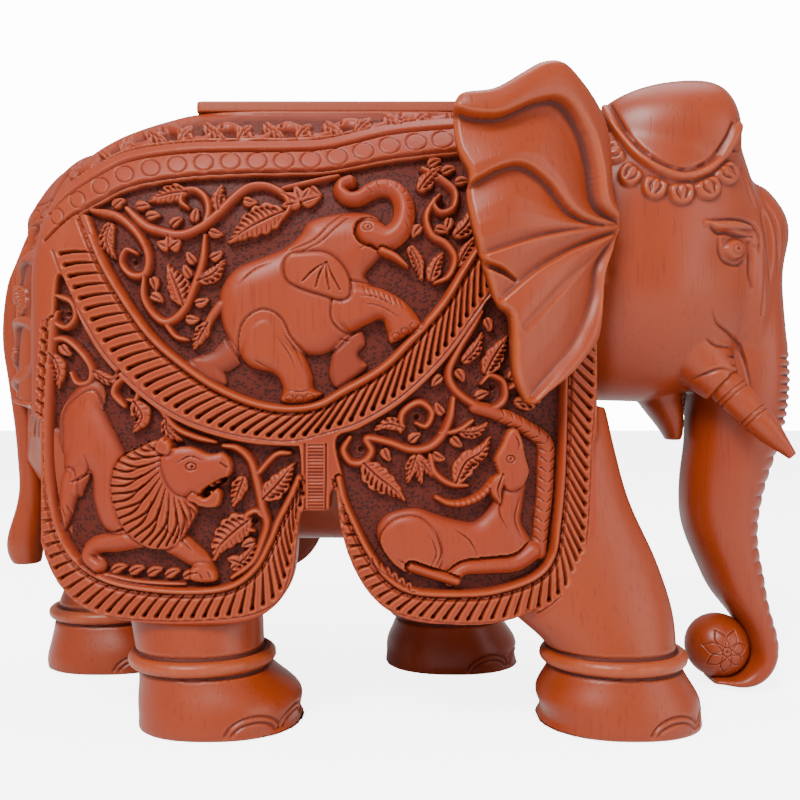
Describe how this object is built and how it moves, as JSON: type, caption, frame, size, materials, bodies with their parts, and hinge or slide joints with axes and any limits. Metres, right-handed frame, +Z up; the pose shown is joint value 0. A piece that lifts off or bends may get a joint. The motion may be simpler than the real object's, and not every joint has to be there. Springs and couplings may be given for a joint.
{
  "type": "carved wooden elephant",
  "caption": "Standing wooden elephant statuette with a relief-carved caparison, raised seat board, spread ears, tusks and a trunk curled round a ball.",
  "frame": {"origin": "on the floor under the middle of the overall box", "axes": "+X the way the elephant faces, +Y its left side, +Z up"},
  "size_m": [0.2033, 0.092, 0.1524],
  "materials": {
    "carved_wood": "satin, dark in the recesses",
    "head_wood": "hand-polished satin",
    "peg_wood": "smooth",
    "board_wood": "sawn and sanded, matt"
  },
  "bodies": {
    "root": {"body_block": "carved_wood", "head_block": "head_wood", "neck_dowel": "peg_wood", "ear_right": "head_wood", "ear_left": "head_wood", "ear_dowels": "peg_wood", "tusk_right": "peg_wood", "tusk_left": "peg_wood", "trunk_ball": "head_wood", "ball_pin": "peg_wood", "tail": "head_wood", "back_plate": "board_wood", "plate_dowels": "peg_wood"}
  },
  "joints": []
}
